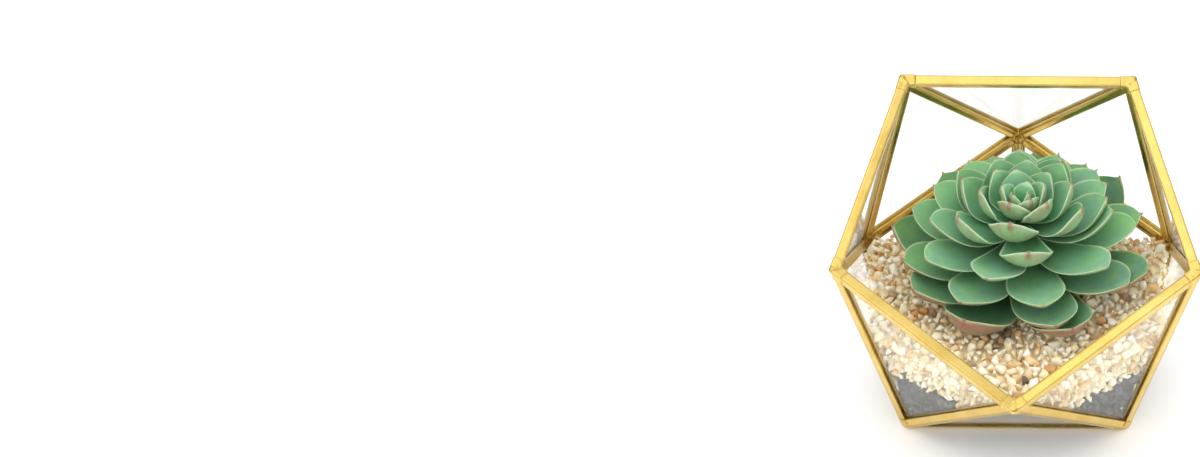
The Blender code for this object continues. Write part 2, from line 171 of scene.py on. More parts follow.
# The camera looks at the front from above
VIEW_CENTRE = Vector((0, 0, 72.35)) * MM
VIEW_ELEVATION = math.radians(31.1)
VIEW_AZIMUTH = math.radians(0.4)
VIEW_ROLL = math.radians(-0.25)
VIEW_DISTANCE = 0.600
VIEW_LENS = 41.3
VIEW_SHIFT = (-0.3472, 0.0228)  # the terrarium stands at the right of the frame

# Each light's name, place, diameter, power and colour
LIGHTS = (
    ("key", VIEW_CENTRE + Vector((-0.40, -0.55, 1.0)).normalized() * 1.1, 1.2, 3.5, (1.0, 0.985, 0.96)),
    ("top", Vector((0.1, 0.25, 1.25)), 1.2, 2.0, (0.98, 0.99, 1.0)),
    ("side", Vector((1.0, -0.45, 0.55)), 0.4, 1.5, (1.0, 0.99, 0.97)),
)
# Brightness of the world by the height of the direction: 0 straight down, 0.5 level, 1 straight up.
# The room is what shiny surfaces reflect, and the fill is what lights rough ones.
ROOM_LEVELS = ((0.0, 0.45), (0.5, 0.45), (0.55, 0.16), (0.68, 0.22), (0.82, 0.78), (0.94, 0.60))
ROOM_STRENGTH = 1.0
FILL_LEVELS = ((0.0, 1.0), (0.5, 1.0), (0.65, 0.85), (1.0, 0.62))
FILL_STRENGTH = 1.6
FLOOR_SIZE = 12.0  # from the middle to each side
FLOOR_GLOW = 0.14  # painted light: the table top glows a little of its own, which lifts the shade on it


# ---- shared helpers ----


def add_object(name, data, matrix=None):
    """A new object in the scene, placed by a matrix if there is one."""
    obj = bpy.data.objects.new(name, data)
    bpy.context.scene.collection.objects.link(obj)
    if matrix:
        obj.matrix_world = matrix
    return obj


def mesh_from(name, points, faces):
    """A new mesh from points, and from faces that give their points' numbers."""
    mesh = bpy.data.meshes.new(name)
    mesh.from_pydata([tuple(p) for p in points], [], [tuple(f) for f in faces])
    mesh.update()
    return mesh


def mesh_of(name, bm):
    """A new mesh with what the bmesh holds. The bmesh is freed."""
    mesh = bpy.data.meshes.new(name)
    bm.to_mesh(mesh)
    bm.free()
    return mesh


def set_attribute(mesh, name, values):
    """Stores one number, or one vector, per point under a name that a material reads."""
    values = np.asarray(values, np.float32)
    if values.ndim == 1:
        mesh.attributes.new(name, "FLOAT", "POINT").data.foreach_set("value", values)
    else:
        mesh.attributes.new(name, "FLOAT_VECTOR", "POINT").data.foreach_set("vector", values.ravel())


def cover(mesh, material):
    """Gives a mesh one material in place of what it had."""
    mesh.materials.clear()
    mesh.materials.append(material)


def smoothstep(low, high, x):
    """0 up to low, 1 from high on, and a smooth rise between them."""
    v = np.clip((np.asarray(x, float) - low) / (high - low), 0, 1)
    return v * v * (3 - 2 * v)


def between(first, last, share):
    """The number that lies a share of the way from the first to the last."""
    return first + (last - first) * share


# ---- the polyhedron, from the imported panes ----


def outward(normal, centre, middle):
    """A face's normal, turned away from the middle of the body."""
    return normal if normal.dot(centre - middle) > 0 else -normal


def pane_plane(obj, middle):
    """A pane's centre and its outward normal."""
    largest = max(obj.data.polygons, key=lambda face: face.area)
    centre = sum((v.co for v in obj.data.vertices), Vector()) / len(obj.data.vertices)
    return centre, outward(largest.normal.copy(), centre, middle)


def find_corners(planes):
    """Each corner, where the middle planes of the panes that share it meet."""
    corners = {}
    for letter in sorted(set("".join(PANES.values()))):
        meeting = [planes[name] for name, letters in PANES.items() if letter in letters]
        normals = np.array([normal for _, normal in meeting])
        depths = np.array([normal.dot(centre) for centre, normal in meeting])
        corners[letter] = Vector(np.linalg.lstsq(normals, depths, rcond=None)[0])
    return corners


def mouth_walls(corners):
    """The five planes that would close the body at its missing corner."""
    middle = (corners["D"] + corners["K"]) / 2
    missing = 2 * middle - corners["Q"]
    walls = []
    for i, letter in enumerate(MOUTH_RIM):
        a, b = corners[MOUTH_RIM[i - 1]], corners[letter]
        centre = (a + b + missing) / 3
        normal = (a - missing).cross(b - missing).normalized()
        walls.append((centre, outward(normal, centre, middle), MOUTH_RIM[i - 1] + letter))
    return walls


# ---- shader nodes ----


class Nodes:
    """The node tree of a new material or world, with short calls that add a node and give its output."""

    def __init__(self, owner):
        self.owner = owner
        owner.use_nodes = True
        self.tree = owner.node_tree
        self.tree.nodes.clear()

    def add(self, kind, settings=None, **inputs):
        """A new node. Each input goes by its socket's name, with _ for a space."""
        node = self.tree.nodes.new(kind)
        for key, value in (settings or {}).items():
            setattr(node, key, value)
        for key, value in inputs.items():
            self.feed(node, key.replace("_", " "), value)
        return node

    def feed(self, node, socket, value):
        """Links an output to a node's input, or sets a number, a vector or a colour there."""
        target = node.inputs[socket]
        if isinstance(value, bpy.types.NodeSocket):
            self.tree.links.new(value, target)
        elif target.type == "RGBA":
            target.default_value = (*value, 1)
        else:
            target.default_value = value

    def attribute(self, name, output="Fac"):
        return self.add("ShaderNodeAttribute", {"attribute_name": name}).outputs[output]

    def place(self, kind="Object"):
        return self.add("ShaderNodeTexCoord").outputs[kind]

    def noise(self, vector, scale, detail=3.0, roughness=0.5, distortion=0.0):
        node = self.add(
            "ShaderNodeTexNoise", Vector=vector, Scale=scale, Detail=detail,
            Roughness=roughness, Distortion=distortion,
        )
        return node.outputs["Fac"]

    def stretched(self, vector, scale):
        return self.add("ShaderNodeMapping", Vector=vector, Scale=scale).outputs[0]

    def ramp(self, value, *stops):
        """Colours, or grey levels, at positions along a value."""
        node = self.add("ShaderNodeValToRGB", Fac=value)
        elements = node.color_ramp.elements
        while len(elements) < len(stops):
            elements.new(0.5)
        for element, (position, _) in zip(elements, stops):
            element.position = position
        for element, (_, colour) in zip(elements, stops):
            element.color = (*colour, 1) if isinstance(colour, tuple) else (colour, colour, colour, 1)
        return node.outputs["Color"]

    def mix(self, share, first, second, blend="MIX"):
        node = self.add("ShaderNodeMix", {"data_type": "RGBA", "blend_type": blend})
        self.feed(node, 0, share)
        self.feed(node, 6, first)
        self.feed(node, 7, second)
        return node.outputs[2]

    def tint(self, colour, towards, share, *factors):
        """Moves a colour towards another, by a share that the factors scale."""
        for factor in factors:
            share = self.math("MULTIPLY", share, factor)
        return self.mix(share, colour, towards)

    def math(self, operation, *values):
        node = self.add("ShaderNodeMath", {"operation": operation})
        for index, value in enumerate(values):
            self.feed(node, index, value)
        return node.outputs[0]

    def fit(self, value, low, high, first=0.0, last=1.0):
        """Maps low..high to first..last, and clamps."""
        node = self.add("ShaderNodeMapRange", Value=value)
        for index, number in ((1, low), (2, high), (3, first), (4, last)):
            self.feed(node, index, number)
        return node.outputs[0]

    def bump(self, height, distance, strength=1.0, normal=None):
        node = self.add("ShaderNodeBump", Height=height, Distance=distance, Strength=strength)
        if normal:
            self.feed(node, "Normal", normal)
        return node.outputs[0]

    def principled(self, **inputs):
        return self.add("ShaderNodeBsdfPrincipled", **inputs).outputs[0]

    def background(self, colour, strength):
        return self.add("ShaderNodeBackground", Color=colour, Strength=strength).outputs[0]

    def mix_shader(self, share, first, second):
        node = self.add("ShaderNodeMixShader")
        for index, value in enumerate((share, first, second)):
            self.feed(node, index, value)
        return node.outputs[0]

    def finish(self, surface):
        """Adds the tree's output, and gives back the material or the world."""
        kind = "World" if isinstance(self.owner, bpy.types.World) else "Material"
        self.add(f"ShaderNodeOutput{kind}", Surface=surface)
        return self.owner


class LeafNodes(Nodes):
    """A leaf's node tree, with what leaf_mesh stores and the noises that the leaf's colours share."""

    def __init__(self, name):
        super().__init__(bpy.data.materials.new(name))
        self.youth = self.attribute("youth")
        self.along = self.attribute("along")
        self.under = self.attribute("under")
        self.tone = self.attribute("tone")
        self.margin = self.attribute("margin_mm")
        self.keel = self.attribute("keel_mm")
        self.flat = self.attribute("flat", "Vector")
        self.cloud = self.noise(self.flat, 130, 4, 0.6)
        self.streak = self.noise(self.stretched(self.flat, (1.0, 0.22, 1.0)), 900, 3, 0.6)
        self.speck = self.noise(self.flat, 1500, 2, 0.7)


# ---- materials ----


def material_nodes(name):
    return Nodes(bpy.data.materials.new(name))


def brass_material():
    """Bright lacquered brass: a warm, slightly uneven colour, faint waves, a few dull spots of flux."""
    n = material_nodes("polished_brass")
    place = n.place()
    cloud = n.noise(place, 55, 4, 0.6)
    fine = n.noise(place, 420, 3, 0.55)
    colour = n.ramp(cloud, (0.3, (0.68, 0.46, 0.11)), (0.5, (0.77, 0.55, 0.155)), (0.7, (0.85, 0.63, 0.21)))
    colour = n.tint(colour, (0.48, 0.30, 0.06), n.fit(n.noise(place, 130, 5, 0.65), 0.62, 0.78), 0.15)
    roughness = n.fit(n.mix(0.5, cloud, fine), 0.3, 0.7, 0.16, 0.28)
    rounded = n.add("ShaderNodeBevel", {"samples": 6}, Radius=1.4 * MM).outputs[0]
    waves = n.bump(n.noise(place, 90, 2, 0.4), 0.3 * MM, 0.4, rounded)
    surface = n.bump(fine, 0.05 * MM, 0.5, waves)
    return n.finish(n.principled(Base_Color=colour, Metallic=1.0, Roughness=roughness, Normal=surface))


def solder_material():
    """The plated solder: the same brass colour, pitted, rippled and a little duller."""
    n = material_nodes("plated_solder")
    place = n.place()
    cloud = n.noise(place, 150, 4, 0.6)
    colour = n.ramp(cloud, (0.3, (0.66, 0.45, 0.11)), (0.55, (0.77, 0.55, 0.155)), (0.75, (0.84, 0.62, 0.20)))
    clear_of_pits = n.fit(n.noise(place, 620, 3, 0.6), 0.27, 0.38)
    colour = n.mix(clear_of_pits, (0.55, 0.36, 0.08), colour)
    ripples = n.bump(n.noise(place, 330, 3, 0.5, 0.4), 0.25 * MM, 0.5)
    roughness = n.fit(cloud, 0.3, 0.7, 0.18, 0.34)
    return n.finish(n.principled(Base_Color=colour, Metallic=1.0, Roughness=roughness, Normal=ripples))


def glass_material():
    """Clear sheet glass with a trace of green and of dust. Shadow rays and diffuse rays pass straight
    through it."""
    n = material_nodes("sheet_glass")
    place = n.place()
    ripple = n.bump(n.noise(place, 14, 1, 0.3), 0.4 * MM, 0.12)
    clear = n.principled(
        Base_Color=(0.98, 0.995, 0.988), Roughness=0.0, IOR=1.4, Transmission_Weight=1.0, Normal=ripple,
    )
    smudge = n.math("MULTIPLY", n.noise(place, 24, 4, 0.6), n.noise(place, 180, 3, 0.6))
    dust = n.add("ShaderNodeBsdfDiffuse", Color=(0.9, 0.9, 0.88)).outputs[0]
    dusty = n.mix_shader(n.fit(smudge, 0.15, 0.42, 0.0, 0.03), clear, dust)
    through = n.add("ShaderNodeBsdfTransparent", Color=(0.975, 0.99, 0.985)).outputs[0]
    path = n.add("ShaderNodeLightPath").outputs
    unseen = n.math("MAXIMUM", path["Is Shadow Ray"], path["Is Diffuse Ray"])
    return n.finish(n.mix_shader(unseen, dusty, through))


def leaf_face(n):
    """The face's colour: deep green at the foot, light green further out and bluish in clouds, with painted
    light that makes it paler near the margin and painted shade over its middle nearer the foot."""
    young = n.ramp(n.along, (0.1, (0.06, 0.28, 0.10)), (0.5, (0.17, 0.54, 0.24)), (0.85, (0.34, 0.78, 0.36)))
    old = n.ramp(n.along, (0.2, (0.04, 0.15, 0.045)), (0.55, (0.10, 0.33, 0.11)), (0.9, (0.22, 0.50, 0.14)))
    colour = n.mix(n.youth, old, young)
    bluish = n.mix(n.youth, (0.10, 0.29, 0.23), (0.28, 0.56, 0.49))
    how_bluish = n.fit(n.tone, 0.0, 1.0, 0.35, 0.85)
    colour = n.tint(colour, bluish, n.fit(n.cloud, 0.36, 0.60), n.fit(n.along, 0.25, 0.6), how_bluish)
    # Painted light: the face is painted paler within a few mm of the margin, on the outer half of the leaf.
    pale = n.mix(n.youth, (0.24, 0.44, 0.16), (0.46, 0.70, 0.42))
    colour = n.tint(colour, pale, n.fit(n.margin, 3.5, 0.8), n.fit(n.along, 0.35, 0.7), 0.30)
    colour = n.tint(colour, (0.30, 0.46, 0.18), n.fit(n.streak, 0.35, 0.7), 0.25)
    # Painted shade: the middle of the face, away from the margin and nearer the foot, is darkened.
    painted_shade = n.mix(1.0, colour, (0.35, 0.55, 0.40), "MULTIPLY")
    return n.tint(colour, painted_shade, n.fit(n.margin, 1.0, 4.0), n.fit(n.along, 0.75, 0.2), 0.45)


def leaf_back(n):
    """The back's colour: green on a young leaf and brown on an old one, with brown blotches, a blush at
    the margin, red freckles and a broken red line along the keel."""
    young = n.ramp(n.along, (0.1, (0.18, 0.34, 0.15)), (0.9, (0.23, 0.46, 0.19)))
    young = n.tint(young, (0.31, 0.27, 0.19), n.fit(n.noise(n.flat, 210, 4, 0.7), 0.44, 0.64, 0.0, 0.75))
    old = n.ramp(n.along, (0.3, (0.13, 0.16, 0.055)), (0.7, (0.22, 0.14, 0.06)), (1.0, (0.27, 0.13, 0.07)))
    colour = n.mix(n.fit(n.youth, 0.10, 0.40), old, young)
    streaked = n.mix(n.youth, (0.30, 0.24, 0.13), (0.42, 0.55, 0.33))
    colour = n.tint(colour, streaked, n.fit(n.streak, 0.35, 0.65), 0.22)
    colour = n.tint(colour, (0.30, 0.13, 0.08), n.fit(n.margin, 5.0, 0.8), n.fit(n.cloud, 0.35, 0.6), 0.55)
    patches = n.fit(n.noise(n.flat, 260, 3, 0.6), 0.42, 0.58)
    colour = n.tint(colour, (0.27, 0.05, 0.04), n.fit(n.speck, 0.58, 0.68), patches, 0.6)
    line = n.math("MULTIPLY", n.fit(n.keel, 1.3, 0.6), n.fit(n.along, 0.2, 0.45))
    breaks = n.fit(n.noise(n.flat, 700, 4, 0.75), 0.32, 0.50)
    return n.tint(colour, (0.28, 0.06, 0.035), line, breaks, 0.85)


def leaf_material():
    """A waxy leaf with a pale rim, a red tip and a faint bloom."""
    n = LeafNodes("succulent_leaf")
    colour = n.mix(n.under, leaf_face(n), leaf_back(n))
    pale = n.mix(n.youth, (0.48, 0.58, 0.30), (0.74, 0.93, 0.68))
    colour = n.tint(colour, pale, n.fit(n.margin, 0.95, 0.45), n.fit(n.under, 0.0, 1.0, 0.9, 0.25))
    colour = n.tint(colour, (0.30, 0.085, 0.055), n.fit(n.along, 0.955, 0.99), n.fit(n.keel, 0.9, 0.4))
    bloom = n.fit(n.noise(n.flat, 60, 5, 0.65), 0.4, 0.7)
    colour = n.tint(colour, (0.62, 0.74, 0.64), bloom, n.fit(n.under, 0.0, 1.0, 0.12, 0.07))
    skin = n.bump(n.speck, 0.04 * MM, 0.5, n.bump(n.cloud, 0.5 * MM, 0.35))
    return n.finish(n.principled(
        Base_Color=colour, Roughness=n.fit(n.cloud, 0.3, 0.7, 0.40, 0.56), Specular_IOR_Level=0.4,
        Subsurface_Weight=0.14, Subsurface_Scale=0.003, Subsurface_Radius=Vector((0.5, 1.0, 0.35)),
        Sheen_Weight=0.12, Sheen_Roughness=0.45, Normal=skin,
    ))


def stem_material():
    """The woody stem, ringed by old leaf scars."""
    n = material_nodes("succulent_stem")
    rings = n.noise(n.stretched(n.place(), (0.4, 0.4, 2.5)), 320, 4, 0.6)
    colour = n.ramp(rings, (0.3, (0.04, 0.08, 0.025)), (0.6, (0.08, 0.16, 0.05)), (0.8, (0.14, 0.24, 0.08)))
    return n.finish(n.principled(Base_Color=colour, Roughness=0.7, Normal=n.bump(rings, 0.5 * MM, 0.8)))


def grain_material(name, stops, roughness, gloss):
    """Stone grains. Each grain has its own tint, and mottling and grit run over all of them."""
    n = material_nodes(name)
    place = n.place()
    mottle = n.noise(place, 700, 3, 0.65)
    colour = n.ramp(n.attribute("tint"), *stops)
    mottled = n.mix(1.0, colour, (0.80, 0.62, 0.44), "MULTIPLY")
    colour = n.tint(colour, mottled, n.fit(mottle, 0.35, 0.75, 0.0, 0.28))
    grit = n.noise(place, 2600, 2, 0.6)
    surface = n.bump(grit, 0.08 * MM, 0.6, n.bump(mottle, 0.3 * MM, 0.5))
    return n.finish(n.principled(
        Base_Color=colour, Roughness=n.fit(mottle, 0.3, 0.7, roughness - 0.1, roughness + 0.12),
        Specular_IOR_Level=gloss, Normal=surface,
    ))


def gravel_material():
    """Mostly cream and white, some peach and ochre, and a few dark grains."""
    stops = (
        (0.0, (0.16, 0.13, 0.11)), (0.02, (0.45, 0.31, 0.18)), (0.06, (0.72, 0.39, 0.14)),
        (0.12, (0.88, 0.60, 0.28)), (0.28, (0.93, 0.78, 0.48)), (0.52, (0.95, 0.86, 0.61)),
        (0.76, (0.97, 0.93, 0.75)), (1.0, (0.98, 0.97, 0.88)),
    )
    return grain_material("cream_gravel", stops, 0.62, 0.4)


def pebble_material():
    """Dark slate grey."""
    stops = (
        (0.0, (0.018, 0.022, 0.028)), (0.5, (0.04, 0.047, 0.06)), (0.85, (0.07, 0.08, 0.096)),
        (1.0, (0.14, 0.15, 0.165)),
    )
    return grain_material("slate_pebbles", stops, 0.5, 0.5)


def floor_material():
    """A matt white table top with the faintest mottling. It glows a little, painted light that lifts its
    shadows.
    """
    n = material_nodes("white_table")
    colour = n.ramp(n.noise(n.place(), 3, 3, 0.5), (0.3, (0.90, 0.90, 0.905)), (0.7, (0.93, 0.93, 0.93)))
    return n.finish(n.principled(
        Base_Color=colour, Roughness=0.55, Specular_IOR_Level=0.3,
        Emission_Color=colour, Emission_Strength=FLOOR_GLOW,
    ))


# ---- brass and glass ----


def finish_cad(nodes, brass, glass):
    """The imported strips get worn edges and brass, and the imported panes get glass."""
    for name, obj in nodes.items():
        if name in PANES:
            cover(obj.data, glass)
        elif name.startswith(("rim_", "strip_", "base_strip_")):
            cover(obj.data, brass)
            bevel = obj.modifiers.new("worn_edges", "BEVEL")
            bevel.width = WORN_EDGE
            bevel.segments = 3
            bevel.limit_method = "ANGLE"
            bevel.angle_limit = WORN_ANGLE


def square_off(edge, towards):
    """The direction square to an edge, on the side of another direction. All are unit vectors."""
    return (towards - towards.dot(edge) * edge).normalized()


def add_plate(bm, here, edges, normal, past):
    """A plate over the flanges at one pane's corner. It follows both edges out to SOLDER_REACH, and
    stands past each edge by the given amounts."""
    first, second = edges
    first_in, second_in = square_off(first, second), square_off(second, first)
    slant = math.sin(first.angle(second))
    outline = [
        -(first * past[1] + second * past[0]) / slant,
        first * SOLDER_REACH - first_in * past[0],
        first * SOLDER_REACH + first_in * SOLDER_LAP,
        (first + second) * SOLDER_LAP / slant,
        second * SOLDER_REACH + second_in * SOLDER_LAP,
        second * SOLDER_REACH - second_in * past[1],
    ]
    half = normal * (HALF_STRIP + SOLDER_PROUD)
    lower = [bm.verts.new(here + p - half) for p in outline]
    upper = [bm.verts.new(here + p + half) for p in outline]
    bm.faces.new(lower[::-1])
    bm.faces.new(upper)
    for i in range(len(outline)):
        j = (i + 1) % len(outline)
        bm.faces.new((lower[i], lower[j], upper[j], upper[i]))


def add_lump(bm, place, radius):
    bmesh.ops.create_icosphere(bm, subdivisions=3, radius=radius, matrix=Matrix.Translation(place))


def remeshed(obj, voxel, rounds):
    """Turns the object's overlapping shells into one smooth skin."""
    remesh = obj.modifiers.new("skin", "REMESH")
    remesh.mode = "VOXEL"
    remesh.voxel_size = voxel
    remesh.use_smooth_shade = True
    smooth = obj.modifiers.new("melt", "SMOOTH")
    smooth.iterations = rounds
    smooth.factor = 0.5
    bpy.context.view_layer.update()
    graph = bpy.context.evaluated_depsgraph_get()
    mesh = bpy.data.meshes.new_from_object(obj.evaluated_get(graph))
    obj.modifiers.clear()
    obj.data = mesh


def is_rim(pair):
    """Whether two corners are next to each other round the mouth."""
    return pair in MOUTH_RIM * 2 or pair[::-1] in MOUTH_RIM * 2


def stands_past(letter, others):
    """How far the solder stands past the two edges that run from a pane's corner to its others."""
    on_rim = [is_rim(letter + k) for k in others]
    if letter in MOUTH_RIM and not any(on_rim):
        return [SOLDER_PROUD, SOLDER_PROUD]
    return [RIM_WEB + SOLDER_PROUD if rim else 0.0 for rim in on_rim]


def joint_shells(name, letter, corners, planes):
    """The overlapping shells of one joint: a plate over each pane's corner, and a lump in the middle. At
    the mouth that lump sits back, and a smaller one stands outside it."""
    here = corners[letter]
    bm = bmesh.new()
    into_panes, out_of_body = Vector(), Vector()
    for pane, letters in PANES.items():
        if letter in letters:
            normal = planes[pane][1]
            others = [k for k in letters if k != letter]
            edges = [(corners[k] - here).normalized() for k in others]
            add_plate(bm, here, edges, normal, stands_past(letter, others))
            out_of_body += normal
            for k, edge, other in zip(others, edges, reversed(edges)):
                if is_rim(letter + k):
                    into_panes += square_off(edge, other)
    add_lump(bm, here + into_panes.normalized() * SOLDER_BACK, SOLDER_CORE)
    if letter in MOUTH_RIM:
        add_lump(bm, here + out_of_body.normalized() * SOLDER_OUT, SOLDER_FILL)
    bmesh.ops.recalc_face_normals(bm, faces=bm.faces)
    return mesh_of(name, bm)


def make_solder(corners, planes, material):
    """A soldered joint at each corner: metal run over the ends of all the strips that meet there."""
    for letter, here in corners.items():
        name = f"solder_{letter}"
        obj = add_object(name, joint_shells(name, letter, corners, planes))
        remeshed(obj, SOLDER_GRID, SOLDER_ROUNDS)
        for v in obj.data.vertices:
            swell = sum(noise.noise(v.co / spacing) * height for spacing, height in SOLDER_RIPPLES)
            v.co += (v.co - here).normalized() * swell
            v.co.z = max(v.co.z, 0.0)
        obj.data.materials.append(material)
        obj.data.shade_smooth()
        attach(obj, "root")


# ---- the succulent ----


def leaf_sizes(index):
    """A leaf's place on the stem and its size. t goes from 0, the lowest leaf, to 1, the last one."""
    t = index / (len(LEAF_DIRECTIONS) - 1)
    direction = math.radians(LEAF_DIRECTIONS[index])
    reach = 1 + TOWARDS_LIGHT * math.cos(direction - LIGHT_SIDE)
    inset = max(0.0, (t - INSET_FROM) / (1 - INSET_FROM))

    def staged(values):
        return float(np.interp(t, LEAF_STAGES, values))

    return {
        "t": t,
        "foot_r": STEM_RADIUS + CLEARANCE - FOOT_INSET * inset,
        "foot_z": between(*FOOT_HEIGHT, t**0.8) * MM,
        "foot_slope": math.radians(between(*FOOT_SLOPE, t**2.2)),
        "tip_r": staged(TIP_RADIUS) * MM * reach,
        "tip_z": staged(TIP_HEIGHT) * MM,
        "tip_slope": math.radians(staged(TIP_SLOPE)),
        "curl": staged(CURL),
        "width": staged(WIDTH) * MM,
        "thick": between(*THICKNESS, t) * MM,
        "dish": staged(DISH),
    }


def leaf_width(u):
    """Half width along the leaf, as a share of the greatest: a broad foot, a full middle, a round end."""
    foot, shoulder, end = 0.36, 0.58, MUCRO_START + 0.03
    if u < shoulder:
        v = u / shoulder
        return foot + (1 - foot) * v * (2 - v)
    v = min(1.0, (u - shoulder) / (end - shoulder))
    return (1 - v**2.1) ** 0.56


def leaf_dish(u):
    """How far the margins stand up, as a share of the greatest: little at the foot, most past the middle."""
    return 0.35 + 0.65 * float(smoothstep(0.1, 0.7, u))


def leaf_thickness(u):
    """Thickness along the leaf, as a share of the greatest: less at the foot, fading to the tip."""
    return (0.5 + 0.5 * min(1.0, u / 0.5)) * math.sqrt(max(0.02, 1 - max(0.0, (u - 0.6) / 0.4) ** 2))


def at_angle(slope):
    """A unit vector in the plane of a leaf's midrib: x outwards, y upwards."""
    return Vector((math.cos(slope), math.sin(slope)))


def midrib(sizes, u):
    """A point of the leaf's midrib and the slope there, on a Bezier arc from the foot to the tip."""
    foot = Vector((sizes["foot_r"], sizes["foot_z"]))
    tip = Vector((sizes["tip_r"], sizes["tip_z"]))
    reach = (tip - foot).length
    leaving = foot + 0.45 * reach * at_angle(sizes["foot_slope"])
    arriving = tip - sizes["curl"] * reach * at_angle(sizes["tip_slope"])
    v = 1 - u
    point = v**3 * foot + 3 * v * v * u * leaving + 3 * v * u * u * arriving + u**3 * tip
    heading = v * v * (leaving - foot) + 2 * v * u * (arriving - leaving) + u * u * (tip - arriving)
    return point, math.atan2(heading.y, heading.x)


def leaf_stations():
    """Rings along the leaf, closer together towards the tip."""
    return [1 - (1 - i / LEAF_STEPS) ** 1.35 for i in range(LEAF_STEPS)]


def leaf_ring(sizes, index, u):
    """The points of one ring round a leaf, and what the material reads at each: how far along it is, how
    many mm from the midrib and from the margin, 1 on the back, and how far to the side."""
    length = sizes["tip_r"] - sizes["foot_r"]
    mucro = MUCRO_WIDTH * max(0.0, 1 - abs(u - MUCRO_START) / MUCRO_FADE)
    w = math.hypot(sizes["width"] / 2 * leaf_width(u), mucro)
    thick = sizes["thick"] * leaf_thickness(u)
    rib, slope = midrib(sizes, u)
    points, facts = [], []
    for i in range(RING_SIZE):
        on_back = i > LEAF_HALF_RING
        k = RING_SIZE - i if on_back else i
        side = math.cos(math.pi * k / LEAF_HALF_RING)
        wave = 1 + UNEVENNESS * noise.noise(Vector((u * 3.1, side * 1.3, index * 7.7)))
        height = sizes["dish"] * leaf_dish(u) * w * side * side * wave
        height -= GROOVE * (1 - min(1.0, abs(side) * 5)) * smoothstep(0.2, 0.9, u)
        if on_back:
            height -= thick * (1 - side * side) ** 0.62
        points.append((rib.x - height * math.sin(slope), side * w, rib.y + height * math.cos(slope)))
        margin = (1 - abs(side)) * w
        if u > 0.6:
            margin = min(margin, (0.985 - u) * length)
        facts.append((u, abs(side) * w / MM, max(0.0, margin) / MM, float(on_back), side * w))
    return points, facts


def leaf_faces():
    """The foot's cap, the bands between the rings, and the fan that closes the tip."""
    faces = [tuple(range(RING_SIZE))]
    for near in range(0, (LEAF_STEPS - 1) * RING_SIZE, RING_SIZE):
        far = near + RING_SIZE
        for i in range(RING_SIZE):
            j = (i + 1) % RING_SIZE
            faces.append((near + i, near + j, far + j, far + i))
    tip = LEAF_STEPS * RING_SIZE
    last = tip - RING_SIZE
    return faces + [(last + i, last + (i + 1) % RING_SIZE, tip) for i in range(RING_SIZE)]


def leaf_mesh(name, index):
    """A fleshy leaf, lofted along its midrib, with the attributes that its material reads."""
    sizes = leaf_sizes(index)
    points, facts = [], []
    for u in leaf_stations():
        ring_points, ring_facts = leaf_ring(sizes, index, u)
        points += ring_points
        facts += ring_facts
    end, _ = midrib(sizes, 1.0)
    points.append((end.x, 0, end.y))
    facts.append((1.0, 0.0, 0.0, 0.5, 0.0))
    mesh = mesh_from(name, points, leaf_faces())
    bm = bmesh.new()
    bm.from_mesh(mesh)
    bmesh.ops.recalc_face_normals(bm, faces=bm.faces)
    bm.to_mesh(mesh)
    bm.free()
    along, keel, margin, under, beside = np.array(facts).T
    same = np.ones(len(points))
    set_attribute(mesh, "along", along)
    set_attribute(mesh, "keel_mm", keel)
    set_attribute(mesh, "margin_mm", margin)
    set_attribute(mesh, "under", under)
    set_attribute(mesh, "youth", same * sizes["t"])
    set_attribute(mesh, "tone", same * (0.5 + 0.5 * math.sin(index * 2.4)))
    length = sizes["tip_r"] - sizes["foot_r"]
    set_attribute(mesh, "flat", np.stack([beside, along * length, same * index * 0.37], axis=1))
    mesh.shade_smooth()
    return mesh


def make_leaves(material):
    """Every leaf as its own piece. Those above the separate CAD leaves are part of the CAD's heart."""
    leaves = []
    for index, degrees in enumerate(LEAF_DIRECTIONS):
        name = f"rosette_leaf_{index + 1:02d}"
        turn = Matrix.Rotation(math.radians(degrees), 4, "Z")
        obj = add_object(name, leaf_mesh(name, index), PLANT @ turn)
        obj.data.materials.append(material)
        smoother = obj.modifiers.new("flesh", "SUBSURF")
        smoother.levels = smoother.render_levels = 1
        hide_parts(f"leaf_{index + 1:02d}" if index < SEPARATE_LEAVES else "rosette_heart")
        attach(obj, "root")
        leaves.append(obj)
    return leaves


def make_stem(material):
    """The stem and its root end, which are part of the CAD's heart too."""
    bm = bmesh.new()
    bmesh.ops.create_cone(
        bm, cap_ends=True, segments=32, radius1=STEM_RADIUS, radius2=STEM_RADIUS * STEM_TAPER,
        depth=STEM_TOP - STEM_FOOT, matrix=Matrix.Translation((0, 0, (STEM_TOP + STEM_FOOT) / 2)),
    )
    trunk = add_object("rosette_stem", mesh_of("rosette_stem", bm), PLANT)
    remeshed(trunk, STEM_GRID, STEM_ROUNDS)
    trunk.data.materials.append(material)
    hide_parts("rosette_heart")
    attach(trunk, "root")


# ---- gravel and pebbles ----


def grain_shapes(rng):
    """Broken stones: the hulls of a few random points, with their edges worn."""
    shapes = []
    for _ in range(GRAIN_SHAPES):
        bm = bmesh.new()
        stretch = np.array([1.0, between(0.72, 0.98, rng.random()), between(0.6, 0.85, rng.random())])
        for _ in range(GRAIN_POINTS):
            direction = rng.normal(size=3)
            direction /= np.linalg.norm(direction)
            bm.verts.new(direction * stretch * between(0.85, 1.1, rng.random()))
        hull = bmesh.ops.convex_hull(bm, input=bm.verts)
        loose = [g for g in hull["geom_interior"] + hull["geom_unused"] if isinstance(g, bmesh.types.BMVert)]
        bmesh.ops.delete(bm, geom=list(set(loose)), context="VERTS")
        bmesh.ops.bevel(
            bm, geom=bm.edges[:], offset=GRAIN_WEAR, segments=1, profile=0.6, affect="EDGES",
            clamp_overlap=True,
        )
        bmesh.ops.triangulate(bm, faces=bm.faces)
        bm.verts.index_update()
        points = np.array([v.co for v in bm.verts])
        triangles = np.array([[v.index for v in f.verts] for f in bm.faces])
        shapes.append((points, triangles))
        bm.free()
    return shapes


